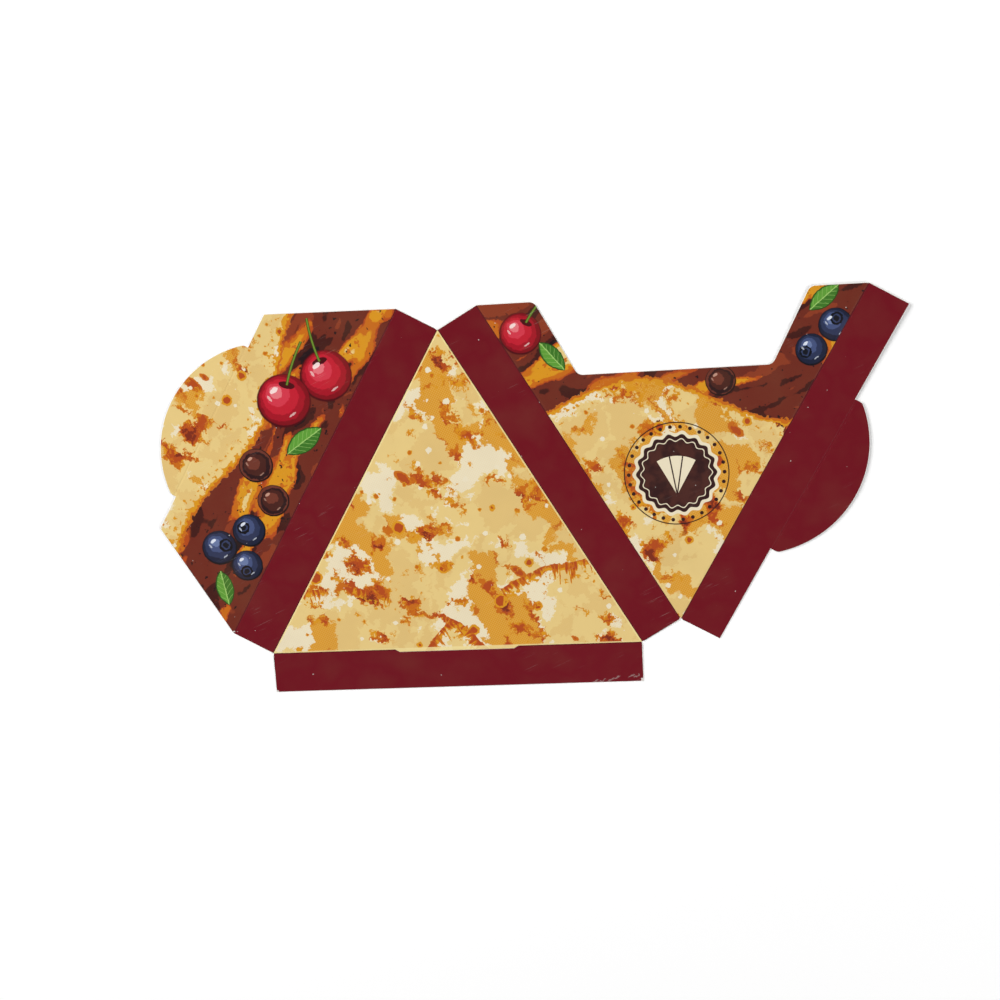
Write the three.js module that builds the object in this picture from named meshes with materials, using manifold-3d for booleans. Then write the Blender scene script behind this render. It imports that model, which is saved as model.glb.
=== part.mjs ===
// Crepe holder: the flat, die-cut and creased card blank of a folding triangular holder.
// It lies with its printed face up. The origin is the middle of the back panel, on the
// underside of the card, +X runs to the front panel and +Y to the back panel's apex.

import * as THREE from 'three';
import { mergeVertices } from 'three/addons/utils/BufferGeometryUtils.js';
import Module from 'manifold-3d';

// Card and creases, in millimetres
const cardThickness = 0.45;
const creaseWidth = 1.3;
const creaseDepth = 0.14;
const beadHeight = 0.12;

// Panels and walls, in millimetres
const backSide = 200;
const sideWallWidth = 24.3;
const baseWallWidth = 22.1;
const frontLength = 203.5;
const endWallWidth = 23.6;
const sideFlapWidth = 60.2;

// Round tuck tabs, on the end wall and on the side flap
const tabHalfWidth = 45.5;
const tabRadius = 59.5;
const endTabHeight = 25.3;
const flapTabHeight = 23.9;
const tabCornerRound = 1.2;

// Window cut into the front panel's free edge
const notchMouth = 142;
const notchFloor = 100.7;
const notchDepth = 39.7;
const notchRound = 4.5;

// Slit in the base crease, which takes the end tab's tip
const slitLength = 62;
const slitRamp = 2.2;
const slitDrop = 1.3;
const slitGap = 0.15;

// Colours of the printed face and of the bare board
const wallColour = new THREE.Color(0x6d1722);
const crepeColour = new THREE.Color(0xe6cc86);
const boardColour = new THREE.Color(0xf2f0ea);

const overrun = 1;
const curveSteps = 24;

function towards(degrees, length) {
  const angle = THREE.MathUtils.degToRad(degrees);
  return new THREE.Vector2(Math.cos(angle), Math.sin(angle)).multiplyScalar(length);
}

function from(point, degrees, length) {
  return point.clone().add(towards(degrees, length));
}

// Corners of the back panel and of what hangs on its three sides
const baseY = -backSide / (2 * Math.sqrt(3));
const apex = new THREE.Vector2(0, backSide / Math.sqrt(3));
const baseLeft = new THREE.Vector2(-backSide / 2, baseY);
const baseRight = new THREE.Vector2(backSide / 2, baseY);
const leftWallTop = from(apex, 150, sideWallWidth);
const leftWallFoot = from(baseLeft, 150, sideWallWidth);
const rightWallTop = from(apex, 30, sideWallWidth);
const rightWallFoot = from(baseRight, 30, sideWallWidth);
const frontFar = from(rightWallFoot, 60, frontLength);
const endWallTop = from(frontFar, -30, endWallWidth);
const endWallFoot = from(rightWallFoot, -30, endWallWidth);
const flapEdge = sideFlapWidth / Math.cos(Math.PI / 6);
const flapTop = from(leftWallTop, 180, flapEdge);
const flapFoot = from(leftWallFoot, 120, flapEdge);

// Adds one corner to an outline, rounded where it has a radius.
function addCorner(path, before, corner, after, radius) {
  const back = before.clone().sub(corner).normalize();
  const ahead = after.clone().sub(corner).normalize();
  const half = back.angleTo(ahead) / 2;
  const reach = radius / Math.tan(half);
  const start = corner.clone().addScaledVector(back, reach);
  const end = corner.clone().addScaledVector(ahead, reach);
  const middle = back.clone().add(ahead).normalize();
  const centre = corner.clone().addScaledVector(middle, radius / Math.sin(half));
  const startAngle = start.clone().sub(centre).angle();
  const endAngle = end.clone().sub(centre).angle();
  const clockwise = back.cross(ahead) > 0;
  path.lineTo(start.x, start.y);
  path.absarc(centre.x, centre.y, radius, startAngle, endAngle, clockwise);
}

// Adds a round tab that stands on the edge from one corner to the next, in its middle.
function addTab(path, edgeStart, edgeEnd, height) {
  const along = edgeEnd.clone().sub(edgeStart).normalize();
  const out = new THREE.Vector2(along.y, -along.x);
  const middle = edgeStart.clone().lerp(edgeEnd, 0.5);
  const centre = middle.clone().addScaledVector(out, height - tabRadius);
  const shoulder = height - tabRadius + Math.sqrt(tabRadius ** 2 - tabHalfWidth ** 2);
  const spread = Math.asin(tabHalfWidth / tabRadius);
  const rounding = tabCornerRound / tabRadius;
  const at = (x, y) => middle.clone().addScaledVector(along, x).addScaledVector(out, y);
  const onArc = (angle) => at(
    tabRadius * Math.sin(angle),
    height - tabRadius + tabRadius * Math.cos(angle),
  );
  const firstFoot = at(-tabHalfWidth, 0);
  const firstStep = at(-tabHalfWidth, shoulder - tabCornerRound);
  const firstCorner = at(-tabHalfWidth, shoulder);
  const firstArc = onArc(-spread + rounding);
  const lastArc = onArc(spread - rounding);
  const lastCorner = at(tabHalfWidth, shoulder);
  const lastStep = at(tabHalfWidth, shoulder - tabCornerRound);
  const lastFoot = at(tabHalfWidth, 0);
  path.lineTo(firstFoot.x, firstFoot.y);
  path.lineTo(firstStep.x, firstStep.y);
  path.quadraticCurveTo(firstCorner.x, firstCorner.y, firstArc.x, firstArc.y);
  const startAngle = firstArc.clone().sub(centre).angle();
  const endAngle = lastArc.clone().sub(centre).angle();
  path.absarc(centre.x, centre.y, tabRadius, startAngle, endAngle, false);
  path.quadraticCurveTo(lastCorner.x, lastCorner.y, lastStep.x, lastStep.y);
  path.lineTo(lastFoot.x, lastFoot.y);
}

// Adds the window, whose sides close in from its mouth to its floor.
function addNotch(path, edgeStart, edgeEnd) {
  const along = edgeEnd.clone().sub(edgeStart).normalize();
  const inward = new THREE.Vector2(-along.y, along.x);
  const middle = edgeStart.clone().lerp(edgeEnd, 0.5);
  const at = (x, y) => middle.clone().addScaledVector(along, x).addScaledVector(inward, y);
  const corners = [
    edgeStart,
    at(-notchMouth / 2, 0),
    at(-notchFloor / 2, notchDepth),
    at(notchFloor / 2, notchDepth),
    at(notchMouth / 2, 0),
    edgeEnd,
  ];
  for (let i = 1; i < corners.length - 1; i += 1) {
    addCorner(path, corners[i - 1], corners[i], corners[i + 1], notchRound);
  }
}

function line(path, ...points) {
  points.forEach((point) => path.lineTo(point.x, point.y));
}

// The blank's outer cut line, run round with the card on its left.
function blankOutline() {
  const shape = new THREE.Shape();
  shape.moveTo(baseLeft.x, baseLeft.y);
  line(shape, from(baseLeft, -90, baseWallWidth), from(baseRight, -90, baseWallWidth));
  line(shape, baseRight, rightWallFoot, endWallFoot);
  addTab(shape, endWallFoot, endWallTop, endTabHeight);
  line(shape, endWallTop, frontFar);
  addNotch(shape, frontFar, rightWallTop);
  line(shape, rightWallTop, apex, leftWallTop, flapTop);
  addTab(shape, flapTop, flapFoot, flapTabHeight);
  line(shape, flapFoot, leftWallFoot);
  shape.closePath();
  return shape;
}

// The slit dips below the base crease and climbs back to it at both ends.
function slitOutline() {
  const half = slitLength / 2;
  const upper = [
    new THREE.Vector2(-half - slitRamp, baseY),
    new THREE.Vector2(-half, baseY - slitDrop),
    new THREE.Vector2(half, baseY - slitDrop),
    new THREE.Vector2(half + slitRamp, baseY),
  ];
  const lower = upper.map((point) => from(point, -90, slitGap)).reverse();
  return new THREE.Shape([...upper, ...lower]);
}

// The tabs' creases lie just outside the edges that the tabs stand on.
function tabCrease(edgeStart, edgeEnd) {
  const along = edgeEnd.clone().sub(edgeStart).normalize();
  const out = new THREE.Vector2(along.y, -along.x);
  const middle = edgeStart.clone().lerp(edgeEnd, 0.5).addScaledVector(out, creaseWidth * 0.6);
  const half = tabHalfWidth + overrun;
  return [
    middle.clone().addScaledVector(along, -half),
    middle.clone().addScaledVector(along, half),
  ];
}

function throughCrease(start, end) {
  const along = end.clone().sub(start).normalize().multiplyScalar(overrun);
  return [start.clone().sub(along), end.clone().add(along)];
}

const slitReach = slitLength / 2 + slitRamp;
const creases = [
  throughCrease(baseLeft, apex),
  throughCrease(baseRight, apex),
  throughCrease(leftWallFoot, leftWallTop),
  throughCrease(rightWallFoot, rightWallTop),
  throughCrease(rightWallFoot, frontFar),
  [from(baseLeft, 180, overrun), new THREE.Vector2(-slitReach, baseY)],
  [new THREE.Vector2(slitReach, baseY), from(baseRight, 0, overrun)],
  tabCrease(endWallFoot, endWallTop),
  tabCrease(flapTop, flapFoot),
];

// A round-bottomed bar: its flat side is up, and its belly hangs down by the given sag.
function barSection(width, sag, top) {
  const radius = (width ** 2 / 4 + sag ** 2) / (2 * sag);
  const spread = Math.asin(width / 2 / radius);
  const section = new THREE.Shape();
  section.moveTo(-width / 2, top);
  section.lineTo(-width / 2, 0);
  section.absarc(0, radius - sag, radius, -Math.PI / 2 - spread, -Math.PI / 2 + spread, false);
  section.lineTo(width / 2, top);
  section.closePath();
  return section;
}

// Lays a bar of the given section along a crease, at a height above the underside.
function barAlong([start, end], section, height) {
  const along = end.clone().sub(start);
  const bar = new THREE.ExtrudeGeometry(section, {
    depth: along.length(),
    bevelEnabled: false,
    curveSegments: 6,
  });
  along.normalize();
  bar.applyMatrix4(new THREE.Matrix4().makeBasis(
    new THREE.Vector3(-along.y, along.x, 0),
    new THREE.Vector3(0, 0, 1),
    new THREE.Vector3(along.x, along.y, 0),
  ));
  bar.translate(start.x, start.y, height);
  return bar;
}

const wasm = await Module();
wasm.setup();

function toSolid(geometry) {
  const bare = geometry.clone();
  bare.deleteAttribute('normal');
  bare.deleteAttribute('uv');
  const merged = mergeVertices(bare, 1e-4);
  return new wasm.Manifold(new wasm.Mesh({
    numProp: 3,
    vertProperties: new Float32Array(merged.attributes.position.array),
    triVerts: new Uint32Array(merged.index.array),
  }));
}

function toGeometry(solid) {
  const mesh = solid.getMesh();
  const geometry = new THREE.BufferGeometry();
  geometry.setAttribute('position', new THREE.BufferAttribute(mesh.vertProperties, 3));
  geometry.setIndex(new THREE.BufferAttribute(mesh.triVerts, 1));
  return geometry.toNonIndexed();
}

function sheetOf(shape, bottom, height) {
  const sheet = new THREE.ExtrudeGeometry(shape, {
    depth: height,
    bevelEnabled: false,
    curveSegments: curveSteps,
  });
  sheet.translate(0, 0, bottom);
  return sheet;
}

// Each crease is a channel in the printed face and a low bead below it.
function buildBlank() {
  const channel = barSection(creaseWidth, creaseDepth, cardThickness);
  const bead = barSection(creaseWidth, beadHeight, creaseDepth);
  const outline = sheetOf(blankOutline(), -cardThickness, cardThickness * 3);
  const beads = creases.map((crease) => toSolid(barAlong(crease, bead, 0)));
  const trimmedBeads = wasm.Manifold.union(beads).intersect(toSolid(outline));
  let card = toSolid(sheetOf(blankOutline(), 0, cardThickness)).add(trimmedBeads);
  creases.forEach((crease) => {
    card = card.subtract(toSolid(barAlong(crease, channel, cardThickness)));
  });
  const slit = sheetOf(slitOutline(), -cardThickness, cardThickness * 3);
  return toGeometry(card.subtract(toSolid(slit)));
}

function isLeftOf(point, start, end) {
  return end.clone().sub(start).cross(point.clone().sub(start)) > 0;
}

function isInside(point, corners) {
  return corners.every((corner, i) => isLeftOf(point, corner, corners[(i + 1) % corners.length]));
}

// The back, the front and the side flap are printed as crepe, and the walls are plain.
function printedColour(point) {
  const isBack = isInside(point, [apex, baseLeft, baseRight]);
  const isFront = isInside(point, [rightWallFoot, frontFar, rightWallTop]);
  const isFlap = isLeftOf(point, leftWallFoot, leftWallTop);
  return isBack || isFront || isFlap ? crepeColour : wallColour;
}

// Colours each face: print on top, bare board on the cut edges and below.
function paint(geometry) {
  const position = geometry.attributes.position;
  const colours = new Float32Array(position.count * 3);
  for (let first = 0; first < position.count; first += 3) {
    const triangle = new THREE.Triangle();
    triangle.setFromAttributeAndIndices(position, first, first + 1, first + 2);
    const middle = triangle.getMidpoint(new THREE.Vector3());
    const isPrinted = triangle.getNormal(new THREE.Vector3()).z > 0.5;
    const colour = isPrinted ? printedColour(new THREE.Vector2(middle.x, middle.y)) : boardColour;
    [0, 1, 2].forEach((i) => colour.toArray(colours, (first + i) * 3));
  }
  geometry.setAttribute('color', new THREE.BufferAttribute(colours, 3));
  geometry.computeVertexNormals();
  return geometry;
}

const card = new THREE.Mesh(
  paint(buildBlank()),
  new THREE.MeshStandardMaterial({ vertexColors: true, roughness: 0.35, metalness: 0 }),
);
card.name = 'holder_blank';

const crepeHolder = new THREE.Group();
crepeHolder.add(card);

export default crepeHolder;
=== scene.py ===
"""Crepe holder: the flat printed card blank, lying print side up under a camera that looks down."""
import math

import bmesh
import bpy
from mathutils import Matrix, Vector


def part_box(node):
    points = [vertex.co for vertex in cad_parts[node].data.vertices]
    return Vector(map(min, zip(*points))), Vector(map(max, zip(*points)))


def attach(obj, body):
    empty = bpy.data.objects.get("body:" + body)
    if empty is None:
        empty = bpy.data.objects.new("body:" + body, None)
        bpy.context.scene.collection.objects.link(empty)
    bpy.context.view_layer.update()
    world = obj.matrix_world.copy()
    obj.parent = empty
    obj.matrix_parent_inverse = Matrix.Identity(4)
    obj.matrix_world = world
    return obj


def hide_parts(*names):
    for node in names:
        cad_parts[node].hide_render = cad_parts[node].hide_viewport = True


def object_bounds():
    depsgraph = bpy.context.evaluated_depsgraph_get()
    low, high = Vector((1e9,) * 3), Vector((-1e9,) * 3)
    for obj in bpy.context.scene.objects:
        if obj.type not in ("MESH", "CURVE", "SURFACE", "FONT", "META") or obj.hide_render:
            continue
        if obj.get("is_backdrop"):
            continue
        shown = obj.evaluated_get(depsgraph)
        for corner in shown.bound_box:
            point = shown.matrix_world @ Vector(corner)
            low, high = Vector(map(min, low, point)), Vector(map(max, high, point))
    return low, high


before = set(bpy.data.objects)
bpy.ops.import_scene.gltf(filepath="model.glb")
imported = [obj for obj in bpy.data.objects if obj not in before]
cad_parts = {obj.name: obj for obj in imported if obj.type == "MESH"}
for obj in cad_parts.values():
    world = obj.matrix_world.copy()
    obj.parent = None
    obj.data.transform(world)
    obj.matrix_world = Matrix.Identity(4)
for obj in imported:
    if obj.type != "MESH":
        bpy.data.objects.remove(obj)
cad_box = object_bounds()

MM = 0.001

# Sizes of the blank, in millimetres, as the card was cut
BACK_SIDE = 200.0
SIDE_WALL_WIDTH = 24.3
FRONT_LENGTH = 203.5
SLIT_LENGTH = 62.0
SLIT_RAMP = 2.2
SLIT_DROP = 1.3

# Camera, as fitted to the photograph's corners, in millimetres, and its near and far clips in metres
CAMERA_PLACE = (113.3, 282.9, 1099.6)
CAMERA_LOOKS_ALONG = (-0.0755, -0.2293, -0.9704)
CAMERA_UP = (0.0367, 0.9719, -0.2325)
FOCAL_PIXELS = 2137.0
IMAGE_PIXELS = 1000.0
SENSOR_WIDTH = 36.0
CAMERA_CLIPS = (0.05, 30.0)

# Lamps: name, place in metres and power in watts
LAMPS = (
    ("key_light", (-1.3, 0.9, 1.5), 34.5),
    ("fill_light", (1.6, -0.3, 1.4), 17.0),
)
LAMP_SIDE = 1.2

# Strength of the studio's sky, and the heights, as sines, between which it darkens
SKY_AT_HORIZON = 0.68
SKY_OVERHEAD = 0.12
SKY_DARKENS_FROM = 0.35
SKY_DARK_FROM = 0.85

# The table's white as lamps and as the camera see it
TABLE_LIT = 0.78
TABLE_SEEN = 1.04

# The table's half side in metres, and where it fades to plain white, in millimetres
TABLE_HALF = 14.0
TABLE_FADES_AT = 700.0
TABLE_FADE = 350.0

# Mesh of the card, in millimetres, with the white rim that the die leaves along the print
GRID_STEP = 6.0
CUT_RIM = 0.18
SLIVER = 0.004
SMOOTH_BELOW_DEGREES = 10.0

# How far up the normals of printed faces point at least, and those of the cut at most
FACES_UP = 0.85
FACES_ASIDE = 0.1

# Tolerances of welds and cuts, in metres, and of flat faces, in radians
WELD_WITHIN = 1e-6
CUT_WITHIN = 1e-7
FLAT_WITHIN = 1e-4

# Where the resting sheet lifts: axis, side, start, length and height, in millimetres
LIFTS = (
    (0, 1, 120.0, 120.0, 1.5),
    (0, -1, 110.0, 45.0, 0.9),
    (1, 1, 60.0, 70.0, 0.35),
)

# Half width of the blur at a drawn edge, in millimetres, and at a disc's edge, in radii
EDGE_BLUR = 0.08
DISC_BLUR = 0.02

# Half width of the blur between two tones of noise and at a chocolate pool, in the noise's own values
TONE_BLUR = 0.004
POOL_BLUR = 0.005

# The gloss of the printed face and of the varnish over it
PRINT_ROUGHNESS = 0.34
PRINT_SPECULAR = 0.4
PRINT_COAT = 0.2
COAT_ROUGHNESS = 0.2

# How uneven the ink and its gloss are, and how much rub marks and dust dull and hide them
INK_UNEVENNESS = 0.3
GLOSS_UNEVENNESS = 0.22
RUB_DULLS = 0.12
RUB_STRENGTH = 0.14
DUST_STRENGTH = 0.5

# Relief of the board under the print: size of lumps, height in millimetres and shift of the noise
BOARD_RELIEF = (
    (0.9, 0.006, 3.0),
    (14.0, 0.05, 9.0),
)
BUMP_STRENGTH = 0.5

# The bare board's gloss and relief
BARE_ROUGHNESS = 0.72
BARE_UNEVENNESS = 0.16
BARE_SPECULAR = 0.3
BARE_RELIEF = 0.03

# The light line round the back panel and the painted shade that darkens the walls along the creases, in
# millimetres
BORDER_WIDTH = 0.75
BORDER_STRENGTH = 0.8
CREASE_SHADE_REACH = 0.55
CREASE_SHADE_STRENGTH = 0.6

# The dot screen that shows in the printed crepe: pitch in millimetres, slant and strength
SCREEN_PITCH = 1.5
SCREEN_DEGREES = 15.0
SCREEN_STRENGTH = 0.24


def srgb(code):
    """A colour written as six hex digits, as the linear values that shaders take."""
    values = [int(code[i:i + 2], 16) / 255 for i in (0, 2, 4)]
    linear = [v / 12.92 if v <= 0.04045 else ((v + 0.055) / 1.055) ** 2.4 for v in values]
    return (*linear, 1.0)


WALL_RED = srgb("6c0919")
WALL_RED_WORN = srgb("741522")
# painted shade: the deep red that is painted along the creases in the walls
WALL_RED_CREASE_SHADE = srgb("3f0a16")
CREPE_PALE = srgb("ece0c2")
CREPE_CREAM = srgb("e6c984")
CREPE_TAN = srgb("e0be79")
CREPE_BORDER = srgb("f0dc9a")
CREPE_GOLD = srgb("d8941e")
CREPE_TOAST = srgb("c66a17")
CREPE_RUST = srgb("b24a1b")
CREPE_BURNT = srgb("7d2d1a")
CHOCOLATE_LIGHT = srgb("8a3a22")
CHOCOLATE = srgb("6e2b1e")
CHOCOLATE_DARK = srgb("431a16")
CHOCOLATE_BLACK = srgb("231216")
BADGE_BROWN = srgb("33191a")
BADGE_LIGHT = srgb("4b2722")
LEAF_RIM = srgb("1f4417")
LEAF_LOW = srgb("3c7426")
LEAF_HIGH = srgb("5d9a37")
LEAF_VEIN = srgb("9cc76b")
STEM_RIM = srgb("2f4415")
STEM_GREEN = srgb("6d8a2e")
INK_SHADE = srgb("8a6a4a")
BOARD_WHITE = srgb("f1eee7")
BOARD_GREY = srgb("e4e1d8")
BOARD_FIBRE = srgb("fbfaf6")

# Steps of tone in the picture: the value from which a tone begins, and the tone
GRILLED_TONES = ((0.57, CREPE_TOAST), (0.62, CREPE_RUST), (0.67, CREPE_BURNT), (0.73, CHOCOLATE_BLACK))
BLOTCH_TONES = ((0.935, CREPE_GOLD), (0.965, CREPE_TOAST), (1.01, CREPE_RUST), (1.09, CREPE_BURNT))
POOL_TONES = ((0.40, CHOCOLATE), (0.57, CHOCOLATE_DARK), (0.66, CHOCOLATE_BLACK))
FOLD_TONES = ((0.58, CREPE_RUST), (0.60, CREPE_TOAST), (0.635, CREPE_GOLD), (0.705, CREPE_CREAM))
STROKE_TONES = ((-2.2, CREPE_GOLD), (-1.0, CREPE_TOAST), (1.4, CREPE_RUST))

# Where the browned rim of a fold starts, in millimetres in from the fold's edge
RIM_STARTS = -0.6


def towards(degrees, length):
    """A step of the given length on the card, turned from +X."""
    angle = math.radians(degrees)
    return Vector((math.cos(angle), math.sin(angle))) * length


BASE_Y = -BACK_SIDE / (2 * math.sqrt(3))
APEX = Vector((0.0, BACK_SIDE / math.sqrt(3)))
BASE_LEFT = Vector((-BACK_SIDE / 2, BASE_Y))
BASE_RIGHT = Vector((BACK_SIDE / 2, BASE_Y))
LEFT_WALL_TOP = APEX + towards(150, SIDE_WALL_WIDTH)
LEFT_WALL_FOOT = BASE_LEFT + towards(150, SIDE_WALL_WIDTH)
RIGHT_WALL_TOP = APEX + towards(30, SIDE_WALL_WIDTH)
RIGHT_WALL_FOOT = BASE_RIGHT + towards(30, SIDE_WALL_WIDTH)
FRONT_FAR = RIGHT_WALL_FOOT + towards(60, FRONT_LENGTH)

# Where corners are knocked through to the board: x, y and size, in millimetres
KNOCKS = (
    (99.6, -79.2, 0.9),
    (-99.8, -79.4, 0.6),
    (243.0, 118.6, 0.7),
    (-155.6, 14.6, 0.7),
    (-120.9, -45.2, 0.5),
    (222.6, 130.5, 0.5),
    (121.1, -45.6, 0.5),
)
KNOCK_STRENGTH = 0.75

# Short pale scuffs at the base wall's corner: middles, half sizes and slant
SCUFFS = ((96.4, -76.8), (93.3, -76.5), (85.8, -77.5), (82.6, -78.3), (77.6, -79.0), (74.2, -79.1))
SCUFF_SIZE = (1.9, 0.45)
SCUFF_DEGREES = 24.0
SCUFF_STRENGTH = 0.17


class Paint:
    """Adds nodes to one material's tree by short calls. Places and sizes are in millimetres."""

    def __init__(self, name):
        self.material = bpy.data.materials.new(name)
        self.material.use_nodes = True
        self.tree = self.material.node_tree
        self.tree.nodes.clear()
        where = self.add("ShaderNodeTexCoord").outputs["Object"]
        self.place = self.vector("SCALE", where, scale=1 / MM)

    def add(self, kind, **settings):
        node = self.tree.nodes.new(kind)
        for name, value in settings.items():
            setattr(node, name, value)
        return node

    def put(self, socket, value):
        if isinstance(value, bpy.types.NodeSocket):
            self.tree.links.new(value, socket)
        else:
            socket.default_value = value

    def fill(self, node, **inputs):
        """Sets or links a node's inputs by name, with _ for a space."""
        for name, value in inputs.items():
            self.put(node.inputs[name.replace("_", " ")], value)
        return node

    def math(self, operation, *values):
        node = self.add("ShaderNodeMath", operation=operation)
        for socket, value in zip(node.inputs, values):
            self.put(socket, value)
        return node.outputs[0]

    def vector(self, operation, *values, scale=None):
        node = self.add("ShaderNodeVectorMath", operation=operation)
        for socket, value in zip(node.inputs, values):
            self.put(socket, value)
        if scale is not None:
            self.put(node.inputs["Scale"], scale)
        return node.outputs["Value" if operation in ("DOT_PRODUCT", "LENGTH") else "Vector"]

    def split(self, vector):
        return self.fill(self.add("ShaderNodeSeparateXYZ"), Vector=vector).outputs

    def mix(self, share, under, over):
        node = self.add("ShaderNodeMix", data_type="RGBA")
        self.put(node.inputs[0], share)
        self.put(node.inputs[6], under)
        self.put(node.inputs[7], over)
        return node.outputs[2]

    def above(self, value, edge, blur=EDGE_BLUR):
        """1 where the value is over the edge, 0 where it is under it."""
        node = self.add("ShaderNodeMapRange", clamp=True)
        limits = {"From_Min": edge - blur, "From_Max": edge + blur}
        return self.fill(node, Value=value, **limits).outputs["Result"]

    def both(self, first, second):
        return self.math("MULTIPLY", first, second)

    def either(self, first, second):
        return self.math("MAXIMUM", first, second)

    def between(self, value, low, high):
        """1 where the value is over low and under high."""
        return self.math("SUBTRACT", self.above(value, low), self.above(value, high))

    def near_zero(self, value, reach):
        """1 where the value is less than its reach from 0."""
        return self.math("LESS_THAN", self.math("ABSOLUTE", value), reach)

    def tones(self, colour, value, steps, blur=TONE_BLUR, within=None):
        """The colour, with each step's tone over it where the value is above the step's edge."""
        for edge, tone in steps:
            share = self.above(value, edge, blur)
            if within is not None:
                share = self.both(within, share)
            colour = self.mix(share, colour, tone)
        return colour

    def noise(self, place, size, detail=2.0, shift=0.0):
        """Noise about 0.5, with lumps of about the given size. A shift takes other lumps."""
        moved = self.vector("ADD", place, (shift, shift * 1.7, shift * 0.6))
        node = self.add("ShaderNodeTexNoise", noise_dimensions="3D")
        return self.fill(node, Vector=moved, Scale=1 / size, Detail=detail).outputs[0]

    def ragged(self, place, size, reach, detail=2.0, shift=0.0):
        """The place, pushed about by noise, so that what is drawn there gets ragged edges."""
        moved = self.vector("ADD", place, (shift, shift * 0.7, shift * 1.3))
        node = self.add("ShaderNodeTexNoise", noise_dimensions="3D")
        self.fill(node, Vector=moved, Scale=1 / size, Detail=detail)
        push = self.vector("SUBTRACT", node.outputs["Color"], (0.5, 0.5, 0.5))
        flat = self.vector("MULTIPLY", push, (2 * reach, 2 * reach, 0.0))
        return self.vector("ADD", place, flat)

    def combed(self, place, degrees, size, reach, shift=0.0):
        """The place, pushed one way by streaky noise, so that edges across that way get fringes."""
        streaks = self.noise(self.turned(place, (0.0, 0.0), degrees, (5.0, 1.0)), size, 2.0, shift)
        amount = self.math("MULTIPLY", self.math("SUBTRACT", streaks, 0.5), 2 * reach)
        push = self.vector("SCALE", (*towards(degrees, 1.0), 0.0), scale=amount)
        return self.vector("ADD", place, push)

    def turned(self, place, centre, degrees=0.0, size=(1.0, 1.0)):
        """The flat place as seen from a motif's own centre, turned and scaled to its size."""
        node = self.add("ShaderNodeMapping", vector_type="TEXTURE")
        self.fill(
            node,
            Vector=place,
            Location=(centre[0], centre[1], 0.0),
            Rotation=(0.0, 0.0, math.radians(degrees)),
            Scale=(size[0], size[1], 1.0),
        )
        return self.vector("MULTIPLY", node.outputs["Vector"], (1.0, 1.0, 0.0))

    def disc(self, place, centre, size, degrees=0.0):
        """1 inside a circle, or inside an ellipse of the given half width and half height."""
        size = size if isinstance(size, tuple) else (size, size)
        far = self.vector("LENGTH", self.turned(place, centre, degrees, size))
        return self.above(self.math("SUBTRACT", 1.0, far), 0.0, DISC_BLUR)

    def stroke(self, place, start, degrees, length, bend, half_width):
        """1 on a line that leaves its start in the direction of degrees and curves away from it."""
        x, y, _ = self.split(self.turned(place, start, degrees))
        rise = self.math("MULTIPLY", self.math("MULTIPLY", x, x), bend / length ** 2)
        aside = self.math("ABSOLUTE", self.math("SUBTRACT", y, rise))
        between_ends = self.near_zero(self.math("SUBTRACT", x, length / 2), length / 2)
        return self.both(between_ends, self.above(self.math("SUBTRACT", half_width, aside), 0.0))

    def net(self, place, cell, loose):
        """Cells about loose points: two chances for each cell and the distance from its point."""
        node = self.add("ShaderNodeTexVoronoi", voronoi_dimensions="2D", feature="F1")
        self.fill(node, Vector=place, Scale=1 / cell, Randomness=loose)
        first, second, _ = self.split(node.outputs["Color"])
        return first, second, self.math("MULTIPLY", node.outputs["Distance"], cell)

    def surface(self, colour, roughness, specular, coat=0.0, height=0.0):
        """Ends the tree in a surface whose relief has the given height in millimetres."""
        shader = self.add("ShaderNodeBsdfPrincipled")
        bump = self.fill(self.add("ShaderNodeBump"), Strength=BUMP_STRENGTH, Distance=MM, Height=height)
        self.fill(
            shader,
            Base_Color=colour,
            Roughness=roughness,
            Specular_IOR_Level=specular,
            Coat_Weight=coat,
            Coat_Roughness=COAT_ROUGHNESS,
            Normal=bump.outputs["Normal"],
        )
        self.fill(self.add("ShaderNodeOutputMaterial"), Surface=shader.outputs[0])
        return self.material


def crepe_surface(paint, shift, pale_edge, gold_edge):
    """The baked face of a crepe: cream and pale batter, toasted bands, blisters, combed blotches."""
    place = paint.place
    bands_degrees, fringes_degrees, blotches_degrees = 118.0, 62.0, -28.0
    rough = paint.ragged(paint.ragged(place, 1.5, 2.2, 3.0, shift), 5.0, 6.0, 3.0, shift + 2)
    wide = paint.ragged(rough, 26.0, 26.0, 1.0, shift + 5)
    batter = paint.noise(wide, 21.0, 2.0, shift + 11)
    colour = paint.tones(CREPE_TAN, batter, ((0.47, CREPE_CREAM), (pale_edge, CREPE_PALE)))

    slanted = paint.turned(wide, (0.0, 0.0), bands_degrees, (2.0, 0.85))
    gold = paint.noise(slanted, 30.0, 2.0, shift + 23)
    colour = paint.mix(paint.above(gold, gold_edge, 0.003), colour, CREPE_GOLD)
    colour = paint.mix(paint.both(screen_dots(paint), SCREEN_STRENGTH), colour, CREPE_CREAM)
    toasted = paint.above(gold, gold_edge + 0.012, 0.008)
    slanted = paint.turned(rough, (0.0, 0.0), bands_degrees, (1.5, 0.8))
    grilled = paint.noise(slanted, 11.0, 2.0, shift + 31)
    colour = paint.tones(colour, grilled, GRILLED_TONES, within=toasted)
    colour = blisters(paint, colour, shift)

    fringed = paint.combed(rough, fringes_degrees, 1.4, 4.2, shift + 47)
    slanted = paint.turned(fringed, (0.0, 0.0), blotches_degrees, (1.7, 0.8))
    blotch = paint.noise(slanted, 9.5, 2.0, shift + 57)
    patch = paint.noise(place, 38.0, 1.0, shift + 43)
    heat = paint.math("ADD", blotch, paint.math("MULTIPLY", patch, 0.6))
    return paint.tones(colour, heat, BLOTCH_TONES)


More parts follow.
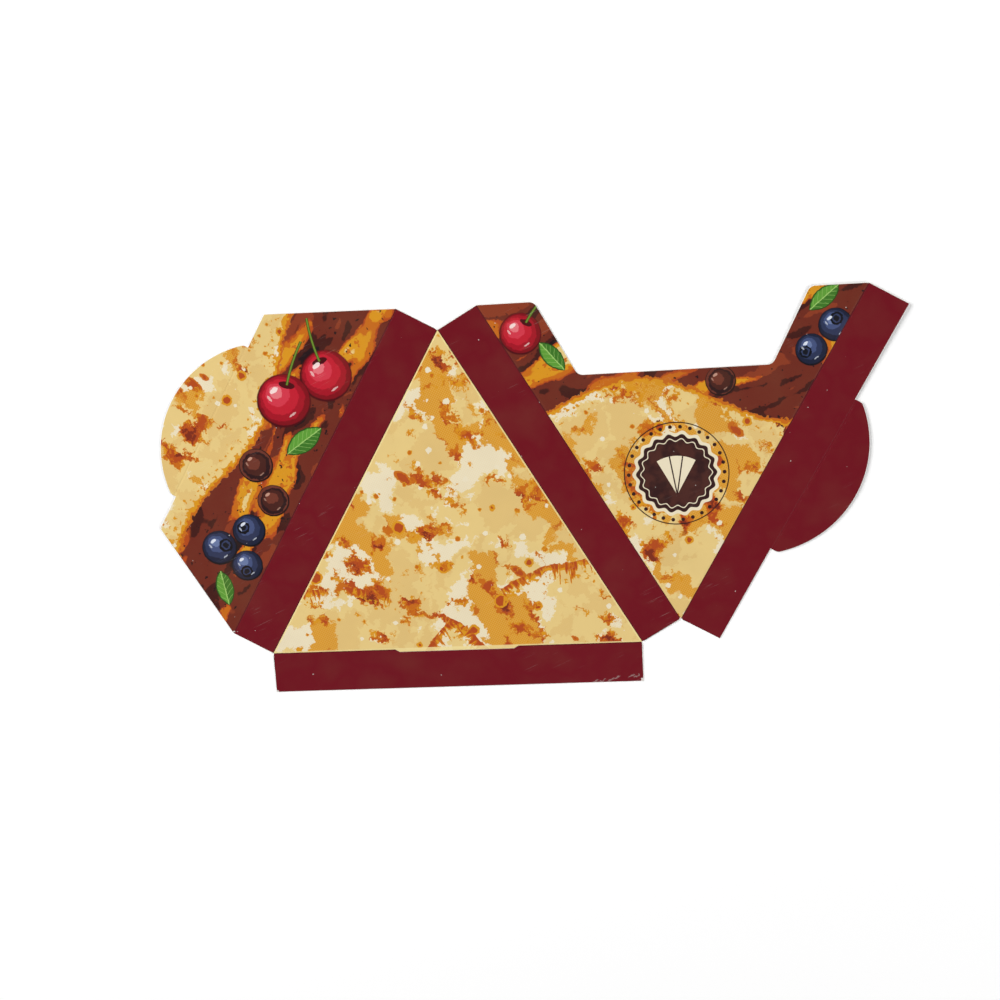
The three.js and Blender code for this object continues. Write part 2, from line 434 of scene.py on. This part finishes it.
def screen_dots(paint):
    """1 on the dots of the printer's screen, which are set at a slant."""
    wave_size = SCREEN_PITCH / (2 * math.pi)
    x, y, _ = paint.split(paint.turned(paint.place, (0.0, 0.0), SCREEN_DEGREES, (wave_size, wave_size)))
    waves = [paint.math("SINE", along) for along in (x, y)]
    return paint.above(paint.both(*waves), 0.0, 0.3)


def blisters(paint, colour, shift):
    """Round and long blisters, at most one to each cell of a loose net."""
    kinds = (
        # cell, radius, share of cells with one, length to width, rim colour, core colour
        (17.0, 2.6, 0.26, 1.0, CREPE_GOLD, CREPE_RUST),
        (19.0, 1.9, 0.30, 2.2, CREPE_TOAST, CREPE_RUST),
        (8.0, 1.1, 0.15, 1.0, CREPE_GOLD, CREPE_TOAST),
        (8.5, 1.2, 0.16, 1.0, CREPE_PALE, CREPE_PALE),
    )
    for number, (cell, radius, share, length, rim, core) in enumerate(kinds):
        start = (shift * 3.1 + 40 * number, shift * 1.9)
        bent = paint.ragged(paint.place, 1.6, 0.9, 2.0, number)
        chance, spread, far = paint.net(paint.turned(bent, start, -40.0, (length, 1.0)), cell, 0.9)
        kept = paint.math("LESS_THAN", chance, share)
        reach = paint.math("MULTIPLY", radius, paint.math("ADD", 0.5, spread))
        rim_depth = paint.math("SUBTRACT", reach, far)
        core_depth = paint.math("SUBTRACT", rim_depth, 0.42 * radius)
        colour = paint.mix(paint.both(kept, paint.above(rim_depth, 0.0)), colour, rim)
        colour = paint.mix(paint.both(kept, paint.above(core_depth, 0.0)), colour, core)
    return colour


def worn_depth(paint, depth, shift):
    """The distance in from a fold's edge, with that edge made ragged."""
    wobble = paint.math("SUBTRACT", paint.noise(paint.place, 3.2, 3.0, shift), 0.5)
    return paint.math("ADD", depth, paint.math("MULTIPLY", wobble, 7.0))


def browned_edge(paint, colour, depth, shift):
    """The browned rim of a fold of crepe, with toasted crumbs behind it."""
    crumbs = paint.above(paint.noise(paint.place, 2.4, 3.0, shift), 0.60, 0.01)
    speckled = paint.both(crumbs, paint.between(depth, 1.0, 9.5))
    colour = paint.mix(speckled, colour, CREPE_GOLD)
    colour = paint.mix(paint.between(depth, 0.6, 2.7), colour, CREPE_GOLD)
    return paint.mix(paint.between(depth, RIM_STARTS, 1.1), colour, CREPE_TOAST)


def filling(paint, along_degrees, shift):
    """Chocolate spread with darker pools, and browned folds of crepe that run one way."""
    own = paint.turned(paint.place, (0.0, 0.0), along_degrees)
    rough = paint.ragged(own, 2.4, 1.4, 3.0, shift)
    bent = paint.ragged(rough, 30.0, 9.0, 1.0, shift + 3)
    pools = paint.noise(paint.vector("MULTIPLY", bent, (0.4, 1.0, 1.0)), 12.0, 2.0, shift + 7)
    colour = paint.tones(CHOCOLATE_LIGHT, pools, POOL_TONES, POOL_BLUR)
    folds = paint.noise(paint.vector("MULTIPLY", bent, (0.3, 1.0, 1.0)), 15.0, 1.5, shift + 19)
    fold = paint.above(folds, FOLD_TONES[0][0], TONE_BLUR)
    colour = paint.tones(colour, folds, FOLD_TONES)
    crumbs = paint.noise(rough, 3.4, 2.0, shift + 29)
    colour = paint.mix(paint.both(fold, paint.above(crumbs, 0.61, 0.006)), colour, CREPE_TOAST)
    specks = paint.above(paint.noise(rough, 2.2, 1.0, shift + 37), 0.715, 0.01)
    return paint.mix(specks, colour, CHOCOLATE_BLACK)


def crepe_over_filling(paint, depth, along_degrees, shift, **edges):
    """A crepe laid over filling, where depth is the distance in from the crepe's edge."""
    worn = worn_depth(paint, depth, shift + 6)
    crepe = browned_edge(paint, crepe_surface(paint, shift, **edges), worn, shift + 8)
    inner = filling(paint, along_degrees, shift + 10)
    return paint.mix(paint.above(worn, RIM_STARTS), inner, crepe)


def wave(paint, along, start, length, height):
    """A slow wave of the given height along a line."""
    turn = paint.math("DIVIDE", paint.math("SUBTRACT", along, start), length)
    return paint.math("MULTIPLY", paint.math("SINE", turn), height)


def fold_arc(paint, colour, centre, radius, shift):
    """Parts of a round fold: a toasted line with short strokes from it towards the arc's centre."""
    longest_stroke = 34.0
    bent = paint.ragged(paint.place, 26.0, 6.0, 1.0, 8.0)
    from_centre = paint.turned(bent, centre)
    x, y, _ = paint.split(from_centre)
    far = paint.vector("LENGTH", from_centre)
    polar = paint.add("ShaderNodeCombineXYZ")
    along = paint.math("MULTIPLY", paint.math("ARCTAN2", y, x), radius)
    paint.fill(polar, X=along, Y=paint.math("MULTIPLY", far, 0.2))
    streaks = paint.math("SUBTRACT", paint.noise(polar.outputs[0], 2.0, 2.0, shift), 0.46)
    depth = paint.math("SUBTRACT", radius, far)
    left_of_stroke = paint.math("SUBTRACT", paint.math("MULTIPLY", streaks, longest_stroke), depth)
    browned = browned_edge(paint, colour, worn_depth(paint, depth, shift), shift + 2)
    inner = paint.above(depth, -0.8)
    browned = paint.tones(browned, left_of_stroke, STROKE_TONES, EDGE_BLUR, inner)
    present = paint.above(paint.noise(paint.place, 30.0, 1.0, shift), 0.48, TONE_BLUR)
    return paint.mix(present, colour, browned)


def back_ground(paint):
    """The back panel: one spread of crepe with two soft folds across it."""
    colour = crepe_surface(paint, shift=3.0, pale_edge=0.57, gold_edge=0.60)
    colour = fold_arc(paint, colour, centre=(-70.0, -150.0), radius=128.0, shift=60.0)
    return fold_arc(paint, colour, centre=(95.0, -160.0), radius=150.0, shift=71.0)


def front_ground(paint):
    """The front panel: filling along the window and a crepe below it."""
    x, y, _ = paint.split(paint.place)
    edge = paint.math("ADD", 73.0, wave(paint, x, start=62.0, length=26.0, height=13.0))
    depth = paint.math("SUBTRACT", edge, y)
    return crepe_over_filling(paint, depth, along_degrees=20.0, shift=41.0, pale_edge=0.60, gold_edge=0.48)


def flap_ground(paint):
    """The side flap: filling by the wall and a crepe that covers the tab."""
    up, out, _ = paint.split(paint.turned(paint.place, LEFT_WALL_FOOT, 60.0))
    edge = paint.math("ADD", 41.0, wave(paint, up, start=12.0, length=21.0, height=6.5))
    depth = paint.math("SUBTRACT", out, edge)
    return crepe_over_filling(paint, depth, along_degrees=60.0, shift=83.0, pale_edge=0.61, gold_edge=0.575)


def round_fruit(paint, colour, centre, radius, steps):
    """Ragged discs inside each other. A step is its offset and size in radii, and its colour."""
    outline = paint.ragged(paint.place, 3.0, 0.3)
    rough = paint.ragged(paint.ragged(paint.place, 1.0, 0.5), 4.0, 1.3, 2.0, radius)
    for number, (right, up, size, code) in enumerate(steps):
        middle = (centre[0] + right * radius, centre[1] + up * radius)
        spot = paint.disc(rough if number > 1 else outline, middle, size * radius)
        colour = paint.mix(spot, colour, srgb(code))
    return colour


def shine(paint, colour, centre, radius, tone):
    """A bright window high on the left of a round fruit, and two faint glints."""
    glints = (
        # offset and half size in radii, strength
        (-0.34, 0.40, 0.17, 0.09, 0.9),
        (-0.52, 0.10, 0.05, 0.13, 0.5),
        (0.30, -0.52, 0.16, 0.04, 0.5),
    )
    rough = paint.ragged(paint.place, 1.2, 0.4)
    for right, up, half_width, half_height, strength in glints:
        middle = (centre[0] + right * radius, centre[1] + up * radius)
        spot = paint.disc(rough, middle, (half_width * radius, half_height * radius), 35.0)
        colour = paint.mix(paint.both(spot, strength), colour, tone)
    return colour


def cherry(paint, colour, centre, radius, stem_degrees):
    """A cherry with its stem, in flat steps of red."""
    stem_foot, stem_length, stem_bend = 0.6 * radius, 1.7 * radius, -3.0
    dimple = (0.13 * radius, 0.3 * radius)
    steps = (
        (0.00, 0.00, 1.00, "4a060f"),
        (0.01, 0.03, 0.95, "7f0c19"),
        (-0.05, 0.07, 0.83, "a31224"),
        (-0.12, 0.14, 0.66, "c01d30"),
        (-0.20, 0.24, 0.45, "d2384a"),
        (-0.27, 0.32, 0.24, "e4747c"),
    )
    colour = round_fruit(paint, colour, centre, radius, steps)
    start = Vector(centre) + towards(stem_degrees, stem_foot)
    pit = paint.disc(paint.ragged(paint.place, 1.5, 0.4), start, dimple, stem_degrees)
    colour = paint.mix(pit, colour, srgb("4a0710"))
    for half_width, tone in ((0.75, STEM_RIM), (0.42, STEM_GREEN)):
        stem = paint.stroke(paint.place, start, stem_degrees, stem_length, stem_bend, half_width)
        colour = paint.mix(stem, colour, tone)
    return shine(paint, colour, centre, radius, srgb("f9e3de"))


def blueberry(paint, colour, centre, radius, crown_degrees):
    """A blueberry with its crown, in flat steps of blue."""
    steps = (
        (0.00, 0.00, 1.00, "0d0f19"),
        (-0.02, 0.04, 0.93, "1b2138"),
        (-0.08, 0.12, 0.74, "2c3554"),
        (-0.16, 0.22, 0.50, "44517a"),
        (-0.24, 0.30, 0.26, "6878a2"),
    )
    colour = round_fruit(paint, colour, centre, radius, steps)
    crown = Vector(centre) + towards(crown_degrees, 0.38 * radius)
    edge = paint.ragged(paint.place, 1.4, 0.8)
    for size, code in ((0.38, "0a0c14"), (0.26, "333e60"), (0.17, "12151f")):
        colour = paint.mix(paint.disc(edge, crown, size * radius), colour, srgb(code))
    return shine(paint, colour, centre, radius, srgb("e4eaf5"))


def chocolate_drop(paint, colour, centre, radius, light_degrees):
    """A round chocolate button with a rim and a soft light on one side."""
    light = towards(light_degrees, 0.2)
    steps = (
        (0.00, 0.00, 1.00, "1a0b0e"),
        (-0.02, 0.03, 0.93, "6b352a"),
        (0.02, -0.02, 0.82, "2b1417"),
        (-0.03, 0.04, 0.66, "47201b"),
        (light.x, light.y, 0.38, "6f3629"),
    )
    colour = round_fruit(paint, colour, centre, radius, steps)
    return shine(paint, colour, centre, radius, srgb("c99a86"))


def leaf(paint, colour, centre, length, degrees):
    """A mint leaf: where two circles overlap, with a midrib and side veins."""
    half, rise = 0.5 * length, 0.24 * length
    midrib_half, vein_gap, vein_share = 0.28, 3.0, 0.06
    radius = (half ** 2 + rise ** 2) / (2 * rise)
    own = paint.turned(paint.ragged(paint.place, 1.6, 0.35, 1.0), centre, degrees)
    sides = []
    for sign in (1.0, -1.0):
        far = paint.vector("LENGTH", paint.vector("ADD", own, (0.0, sign * (radius - rise), 0.0)))
        sides.append(paint.math("SUBTRACT", radius, far))
    depth = paint.math("MINIMUM", *sides)
    x, y, _ = paint.split(own)
    colour = paint.tones(colour, depth, ((0.0, LEAF_RIM), (0.45, LEAF_LOW)), EDGE_BLUR)
    colour = paint.mix(paint.both(paint.above(y, 0.0), paint.above(depth, 0.8)), colour, LEAF_HIGH)
    slope = paint.math("SUBTRACT", x, paint.math("ABSOLUTE", y))
    part = paint.math("SUBTRACT", paint.math("FRACT", paint.math("DIVIDE", slope, vein_gap)), 0.5)
    vein = paint.both(paint.near_zero(part, vein_share), paint.above(depth, 0.7))
    colour = paint.mix(paint.both(vein, 0.6), colour, LEAF_VEIN)
    midrib = paint.both(paint.near_zero(y, midrib_half), paint.above(depth, 0.3))
    return paint.mix(midrib, colour, LEAF_VEIN)


def badge(paint, colour, centre, radius, sign_degrees):
    """A plain round badge with a scalloped middle, beads round it and a wedge for its sign."""
    lobes, lobe_height = 18, 0.8
    beads, bead_radius, beads_out = 30, 1.0, 4.6
    dark_radius = radius - 7.2
    own = paint.turned(paint.place, centre, sign_degrees)
    x, y, _ = paint.split(own)
    far = paint.vector("LENGTH", own)
    turn = paint.math("ADD", paint.math("ARCTAN2", y, x), 4 * math.pi)
    scallop = paint.math("COSINE", paint.math("MULTIPLY", turn, float(lobes)))
    rim = paint.math("ADD", dark_radius, paint.math("MULTIPLY", scallop, lobe_height))
    depth = paint.math("SUBTRACT", rim, far)
    colour = paint.tones(colour, depth, ((-1.9, CREPE_PALE), (0.0, BADGE_BROWN)), EDGE_BLUR)
    cloudy = paint.above(paint.noise(own, 6.0, 3.0, 4.0), 0.5, 0.1)
    colour = paint.mix(paint.both(paint.above(depth, 3.2), cloudy), colour, BADGE_LIGHT)
    colour = paint.mix(paint.between(depth, 2.2, 2.75), colour, CREPE_PALE)

    slot = 2 * math.pi / beads
    nearest = paint.math("SNAP", paint.math("ADD", turn, slot / 2), slot)
    across = paint.math("MULTIPLY", far, paint.math("SUBTRACT", turn, nearest))
    outward = paint.math("SUBTRACT", far, dark_radius + beads_out)
    squares = [paint.math("MULTIPLY", step, step) for step in (across, outward)]
    gap = paint.math("SQRT", paint.math("ADD", *squares))
    colour = paint.mix(paint.math("LESS_THAN", gap, bead_radius), colour, BADGE_BROWN)
    colour = paint.mix(paint.between(far, radius - 0.6, radius), colour, BADGE_BROWN)
    return wedge_sign(paint, colour, own)


def wedge_sign(paint, colour, own):
    """A folded crepe drawn as a wedge with a round edge and two fold lines."""
    tip, reach, half_spread = (0.0, -11.5, 0.0), 21.0, math.radians(29.0)
    fold_turn, fold_half = 0.33 * half_spread, 0.35
    from_tip = paint.vector("SUBTRACT", own, tip)
    x, y, _ = paint.split(from_tip)
    far = paint.vector("LENGTH", from_tip)
    turn = paint.math("ARCTAN2", x, y)
    inside = paint.both(paint.near_zero(turn, half_spread), paint.math("LESS_THAN", far, reach))
    colour = paint.mix(inside, colour, CREPE_PALE)
    for side in (-1, 1):
        off = paint.math("ABSOLUTE", paint.math("SUBTRACT", turn, side * fold_turn))
        thin = paint.math("LESS_THAN", paint.math("MULTIPLY", off, far), fold_half)
        colour = paint.mix(paint.both(inside, thin), colour, BADGE_BROWN)
    return colour


def dust(paint):
    """1 on a few specks of dust."""
    cell, share, largest = 10.0, 0.14, 0.36
    flat = paint.vector("MULTIPLY", paint.place, (1.0, 1.0, 0.0))
    chance, spread, far = paint.net(flat, cell, 1.0)
    near = paint.math("LESS_THAN", far, paint.math("MULTIPLY", spread, largest))
    return paint.both(paint.math("LESS_THAN", chance, share), near)


def rub_marks(paint):
    """1 on faint straight marks that run one way, in a few places."""
    slant, mark_size = 24.0, (15.0, 0.34)
    own = paint.turned(paint.place, (0.0, 0.0), slant, mark_size)
    lines = paint.above(paint.noise(own, 1.0, 1.0, 5.0), 0.73, 0.03)
    return paint.both(lines, paint.above(paint.noise(paint.place, 42.0, 1.0, 8.0), 0.58, 0.05))


def corner_wear(paint):
    """How much ink is gone where corners have been knocked and scuffed."""
    rough = paint.ragged(paint.place, 1.6, 1.6, 3.0, 31.0)
    worn = 0.0
    for x, y, size in KNOCKS:
        worn = paint.either(worn, paint.both(paint.disc(rough, (x, y), size), KNOCK_STRENGTH))
    for middle in SCUFFS:
        scuff = paint.disc(rough, middle, SCUFF_SIZE, SCUFF_DEGREES)
        worn = paint.either(worn, paint.both(scuff, SCUFF_STRENGTH))
    return worn


def varnished(paint, colour):
    """Offset print under a gloss varnish: uneven ink, dust, rub marks and a ripple in the board."""
    place = paint.place
    unevenness = paint.math("ABSOLUTE", paint.math("SUBTRACT", paint.noise(place, 26.0, 4.0, 64.0), 0.5))
    colour = paint.mix(paint.math("MULTIPLY", unevenness, INK_UNEVENNESS), colour, INK_SHADE)
    rubbed = rub_marks(paint)
    for mark, strength in ((dust(paint), DUST_STRENGTH), (rubbed, RUB_STRENGTH), (corner_wear(paint), 1.0)):
        colour = paint.mix(paint.both(mark, strength), colour, BOARD_WHITE)
    cloud = paint.math("SUBTRACT", paint.noise(place, 45.0, 3.0, 77.0), 0.5)
    worn_gloss = paint.math("ADD", paint.both(cloud, GLOSS_UNEVENNESS), paint.both(rubbed, RUB_DULLS))
    roughness = paint.math("ADD", PRINT_ROUGHNESS, worn_gloss)
    relief = [
        paint.math("MULTIPLY", paint.noise(place, size, 2.0, shift), height)
        for size, height, shift in BOARD_RELIEF
    ]
    return paint.surface(colour, roughness, PRINT_SPECULAR, PRINT_COAT, paint.math("ADD", *relief))


def side_of(point, start, end):
    """Above 0 where the point is left of the line from start to end."""
    ahead, there = end - start, point - start
    return ahead.x * there.y - ahead.y * there.x


def inside_line(paint, start, end):
    """How far a place is to the left of the line from start to end."""
    ahead = (end - start).normalized()
    inward = Vector((-ahead.y, ahead.x, 0.0))
    across = paint.vector("DOT_PRODUCT", paint.place, inward)
    return paint.math("SUBTRACT", across, inward.dot(start.to_3d()))


class Area:
    """A printed area of the card, left of all its sides, in bands that hold its motifs.

    Each band has a material of its own, because one material can't hold many motifs.
    """

    def __init__(self, name, ground, sides, bands, start=Vector((0.0, 0.0)), degrees=0.0, bordered=False):
        self.name = name
        self.ground = ground
        self.sides = sides
        self.bands = bands
        self.start = start
        self.ahead = towards(degrees, 1.0)
        self.bordered = bordered

    def holds(self, point):
        return all(side_of(point, start, end) > 0 for start, end in self.sides)

    def band_at(self, point):
        along = (point - self.start).dot(self.ahead)
        return sum(along > end for end, _ in self.bands)

    def planes(self):
        """Upright planes along its sides and between its bands, as a point and a normal."""
        for start, end in self.sides:
            ahead = (end - start).normalized()
            yield start, Vector((-ahead.y, ahead.x))
        for end, _ in self.bands[:-1]:
            yield self.start + self.ahead * end, self.ahead

    def materials(self):
        """One material to each band, all on the same ground."""
        for number, (_, motifs) in enumerate(self.bands):
            paint = Paint(f"{self.name}_print_{number + 1}")
            colour = self.ground(paint)
            for motif, centre, size, degrees in motifs:
                colour = motif(paint, colour, centre, size, degrees)
            yield varnished(paint, self.border(paint, colour))

    def border(self, paint, colour):
        """The thin cream line that the print leaves between a picture and a red wall."""
        for start, end in self.sides if self.bordered else ():
            near = paint.math("LESS_THAN", inside_line(paint, start, end), BORDER_WIDTH)
            colour = paint.mix(paint.both(near, BORDER_STRENGTH), colour, CREPE_BORDER)
        return colour


def on_flap(up_the_wall, out_from_it):
    """A point of the side flap, by its way up the left wall's outer crease and out from it."""
    return tuple(LEFT_WALL_FOOT + towards(60, up_the_wall) + towards(150, out_from_it))


def areas():
    """The three areas with pictures. A band is where it ends and its motifs, with middle, size and turn."""
    last = math.inf
    back = Area(
        "back",
        back_ground,
        ((APEX, BASE_LEFT), (BASE_LEFT, BASE_RIGHT), (BASE_RIGHT, APEX)),
        ((last, ()),),
        bordered=True,
    )
    front_bands = (
        (76.0, (
            (leaf, (59.0, 99.0), 20.0, 130.0),
            (cherry, (43.0, 111.5), 11.0, 60.0),
        )),
        (160.0, (
            (chocolate_drop, (146.0, 82.5), 8.0, 140.0),
            (badge, (121.5, 34.0), 27.7, 0.0),
        )),
        (last, (
            (leaf, (200.0, 124.0), 20.0, 40.0),
            (blueberry, (193.0, 97.0), 8.4, 200.0),
            (blueberry, (205.5, 109.5), 8.8, 80.0),
        )),
    )
    front = Area(
        "front",
        front_ground,
        ((RIGHT_WALL_TOP, RIGHT_WALL_FOOT), (RIGHT_WALL_FOOT, FRONT_FAR)),
        front_bands,
    )
    flap_bands = (
        (66.5, (
            (leaf, on_flap(21.0, 15.0), 20.0, 100.0),
            (blueberry, on_flap(56.0, 17.0), 9.0, 150.0),
            (blueberry, on_flap(40.0, 27.0), 9.5, 20.0),
            (blueberry, on_flap(38.0, 9.5), 8.5, 260.0),
        )),
        (100.5, (
            (chocolate_drop, on_flap(90.0, 29.0), 9.2, 150.0),
            (chocolate_drop, on_flap(77.0, 12.5), 8.6, 120.0),
        )),
        (last, (
            (leaf, on_flap(114.0, 12.0), 24.0, 35.0),
            (cherry, on_flap(151.0, 17.0), 13.8, 110.0),
            (cherry, on_flap(128.5, 31.0), 14.4, 75.0),
        )),
    )
    flap = Area(
        "flap",
        flap_ground,
        ((LEFT_WALL_FOOT, LEFT_WALL_TOP),),
        flap_bands,
        start=LEFT_WALL_FOOT,
        degrees=60.0,
    )
    return back, front, flap


def wall_print_and_crease_shade(creases):
    """The plain dark red of the walls and of the end wall's tab, with painted shade that darkens it along
    the creases.
    """
    paint = Paint("wall_print_and_crease_shade")
    tone = paint.math("MULTIPLY", paint.noise(paint.place, 60.0, 2.0, 14.0), 0.5)
    colour = paint.mix(tone, WALL_RED, WALL_RED_WORN)
    # painted shade: each crease line darkens the red, in place of the shade in the crease's groove
    for start, end in creases:
        near = paint.near_zero(inside_line(paint, start, end), CREASE_SHADE_REACH)
        colour = paint.mix(paint.both(near, CREASE_SHADE_STRENGTH), colour, WALL_RED_CREASE_SHADE)
    return varnished(paint, colour)


def bare_board(name, tone):
    """Uncoated white board with faint fibres, for the underside and the cut edges."""
    paint = Paint(name)
    fibres = paint.noise(paint.vector("MULTIPLY", paint.place, (1.0, 3.0, 1.0)), 1.1, 3.0, 21.0)
    cloud = paint.noise(paint.place, 38.0, 3.0, 5.0)
    share = paint.math("MULTIPLY", paint.math("ADD", fibres, cloud), 0.5)
    roughness = paint.math("ADD", BARE_ROUGHNESS, paint.math("MULTIPLY", fibres, BARE_UNEVENNESS))
    height = paint.math("MULTIPLY", fibres, BARE_RELIEF)
    colour = paint.mix(share, tone, BOARD_FIBRE)
    return paint.surface(colour, roughness, BARE_SPECULAR, height=height)


def is_on_lip(point):
    """Whether this point is on the narrow lip that the slit leaves below the base crease."""
    drop = BASE_Y - point.y
    half = SLIT_LENGTH / 2 + SLIT_RAMP * (1 - drop / SLIT_DROP)
    return 0 < drop < SLIT_DROP and abs(point.x) < half


def print_number(point, printed):
    """The number of the material that prints this point. 0 is the plain wall."""
    if is_on_lip(point):
        point = Vector((point.x, BASE_Y + SLIT_DROP))
    number = 1
    for area in printed:
        if area.holds(point):
            return number + area.band_at(point)
        number += len(area.bands)
    return 0


def cut_by_planes(mesh, planes):
    """Adds edges where upright planes cross the mesh. Points are in millimetres."""
    for point, normal in planes:
        bmesh.ops.bisect_plane(
            mesh,
            geom=mesh.verts[:] + mesh.edges[:] + mesh.faces[:],
            dist=CUT_WITHIN,
            plane_co=(point.x * MM, point.y * MM, 0.0),
            plane_no=normal.to_3d(),
        )


def grid_planes(low, high):
    """Upright planes at even steps, so that the sheet can bend a little."""
    for axis, across in ((0, Vector((1.0, 0.0))), (1, Vector((0.0, 1.0)))):
        start, end = low[axis] / MM, high[axis] / MM
        for step in range(1, math.ceil((end - start) / GRID_STEP)):
            yield across * (start + step * GRID_STEP), across


def rim_edges(sheet):
    """The edges between the printed face and the cut, apart from those of the slit."""
    for edge in sheet.edges:
        ups = sorted(face.normal.z for face in edge.link_faces)
        middle = (edge.verts[0].co + edge.verts[1].co) / 2 / MM
        by_slit = abs(middle.x) < SLIT_LENGTH / 2 + 2 * SLIT_RAMP and abs(middle.y - BASE_Y) < 2 * SLIT_DROP
        if len(ups) == 2 and abs(ups[0]) < FACES_ASIDE and ups[1] > FACES_UP and not by_slit:
            yield edge


def lift(*place):
    """How far the resting sheet stands off its table at this x and y, in millimetres."""
    return sum(
        height * max(0.0, (side * place[axis] - start) / length) ** 2
        for axis, side, start, length, height in LIFTS
    )


def build_card():
    """The card's sheet: the cut solid with finer faces, a white rim, its prints and a slight bend."""
    printed = areas()
    materials = [wall_print_and_crease_shade([side for area in printed for side in area.sides])]
    for area in printed:
        materials.extend(area.materials())
    edge_number, underside_number = len(materials), len(materials) + 1
    materials.append(bare_board("cut_edge", BOARD_WHITE))
    materials.append(bare_board("board_underside", BOARD_GREY))

    sheet = bmesh.new()
    sheet.from_mesh(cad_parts["holder_blank"].data)
    bmesh.ops.remove_doubles(sheet, verts=sheet.verts, dist=WELD_WITHIN)
    bmesh.ops.dissolve_limit(sheet, angle_limit=FLAT_WITHIN, verts=sheet.verts, edges=sheet.edges)
    sheet.normal_update()
    bmesh.ops.bevel(sheet, geom=list(rim_edges(sheet)), offset=CUT_RIM * MM, segments=1, affect="EDGES")
    for area in printed:
        cut_by_planes(sheet, area.planes())
    cut_by_planes(sheet, grid_planes(*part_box("holder_blank")))
    bmesh.ops.dissolve_degenerate(sheet, edges=sheet.edges, dist=SLIVER * MM)
    sheet.normal_update()
    for face in sheet.faces:
        if face.normal.z > FACES_UP:
            middle = face.calc_center_median() / MM
            face.material_index = print_number(middle.to_2d(), printed)
        else:
            face.material_index = underside_number if face.normal.z < -FACES_UP else edge_number
    for vertex in sheet.verts:
        vertex.co.z += lift(vertex.co.x / MM, vertex.co.y / MM) * MM
    bmesh.ops.triangulate(sheet, faces=sheet.faces)

    data = bpy.data.meshes.new("printed_card")
    sheet.to_mesh(data)
    sheet.free()
    data.attributes.remove(data.attributes["custom_normal"])
    for material in materials:
        data.materials.append(material)
    data.shade_smooth()
    data.set_sharp_from_angle(angle=math.radians(SMOOTH_BELOW_DEGREES))
    card = bpy.data.objects.new("printed_card", data)
    bpy.context.scene.collection.objects.link(card)
    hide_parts("holder_blank")
    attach(card, "root")


def table_white():
    """White that lights like paper, and that is seen as plain white with the card's shadow on it."""
    paint = Paint("table_white")
    path = paint.add("ShaderNodeLightPath")
    seen = paint.either(path.outputs["Is Camera Ray"], path.outputs["Is Glossy Ray"])
    seen = paint.either(seen, path.outputs["Is Transmission Ray"])
    tones = [(level, level, level, 1.0) for level in (TABLE_LIT, TABLE_SEEN)]
    paper = paint.add("ShaderNodeBsdfDiffuse")
    paint.fill(paper, Color=paint.mix(seen, *tones))
    white = paint.add("ShaderNodeEmission")
    away = paint.above(paint.vector("LENGTH", paint.place), TABLE_FADES_AT, TABLE_FADE)
    blend = paint.add("ShaderNodeMixShader")
    for socket, value in zip(blend.inputs, (paint.both(seen, away), paper.outputs[0], white.outputs[0])):
        paint.put(socket, value)
    paint.fill(paint.add("ShaderNodeOutputMaterial"), Surface=blend.outputs[0])
    return paint.material


def build_table(height):
    """A white table that the card rests on."""
    corners = [(x * TABLE_HALF, y * TABLE_HALF, height) for x, y in ((-1, -1), (1, -1), (1, 1), (-1, 1))]
    data = bpy.data.meshes.new("table")
    data.from_pydata(corners, [], [(0, 1, 2, 3)])
    data.materials.append(table_white())
    table = bpy.data.objects.new("table", data)
    bpy.context.scene.collection.objects.link(table)
    table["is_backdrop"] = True


def aim(obj, looks_along, up):
    """Turns a camera or lamp so that it looks along one direction, with another up."""
    back = -Vector(looks_along).normalized()
    right = Vector(up).cross(back).normalized()
    above = back.cross(right)
    obj.rotation_euler = Matrix((right, above, back)).transposed().to_euler()


def build_camera():
    """The photograph's own view, straight from the fitted camera."""
    data = bpy.data.cameras.new("camera")
    data.sensor_fit = "HORIZONTAL"
    data.sensor_width = SENSOR_WIDTH
    data.lens = FOCAL_PIXELS / IMAGE_PIXELS * SENSOR_WIDTH
    data.clip_start, data.clip_end = CAMERA_CLIPS
    camera = bpy.data.objects.new("camera", data)
    bpy.context.scene.collection.objects.link(camera)
    camera.location = Vector(CAMERA_PLACE) * MM
    aim(camera, CAMERA_LOOKS_ALONG, CAMERA_UP)
    bpy.context.scene.camera = camera


def build_lamps():
    """Two soft boxes at the sides, without their glare on the varnish."""
    for name, place, power in LAMPS:
        data = bpy.data.lights.new(name, "AREA")
        data.size = LAMP_SIDE
        data.energy = power
        lamp = bpy.data.objects.new(name, data)
        bpy.context.scene.collection.objects.link(lamp)
        lamp.location = place
        lamp.visible_glossy = False
        aim(lamp, -Vector(place), (0.0, 1.0, 0.01))


def build_sky():
    """A grey studio sky that is darker overhead."""
    world = bpy.data.worlds.new("sky")
    bpy.context.scene.world = world
    world.use_nodes = True
    tree = world.node_tree
    where = tree.nodes.new("ShaderNodeTexCoord")
    split = tree.nodes.new("ShaderNodeSeparateXYZ")
    fade = tree.nodes.new("ShaderNodeMapRange")
    sky = tree.nodes["Background"]
    limits = {
        "From Min": SKY_DARKENS_FROM,
        "From Max": SKY_DARK_FROM,
        "To Min": SKY_AT_HORIZON,
        "To Max": SKY_OVERHEAD,
    }
    for name, value in limits.items():
        fade.inputs[name].default_value = value
    sky.inputs["Color"].default_value = (1.0, 1.0, 1.0, 1.0)
    tree.links.new(where.outputs["Generated"], split.inputs[0])
    tree.links.new(split.outputs["Z"], fade.inputs["Value"])
    tree.links.new(fade.outputs["Result"], sky.inputs["Strength"])


build_camera()
build_lamps()
build_sky()
build_table(cad_box[0].z)
build_card()

bpy.context.scene.view_settings.view_transform = "Standard"

boxes = {"cad": cad_box, "visual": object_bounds()}
{name: [list(corner) for corner in box] for name, box in boxes.items()}
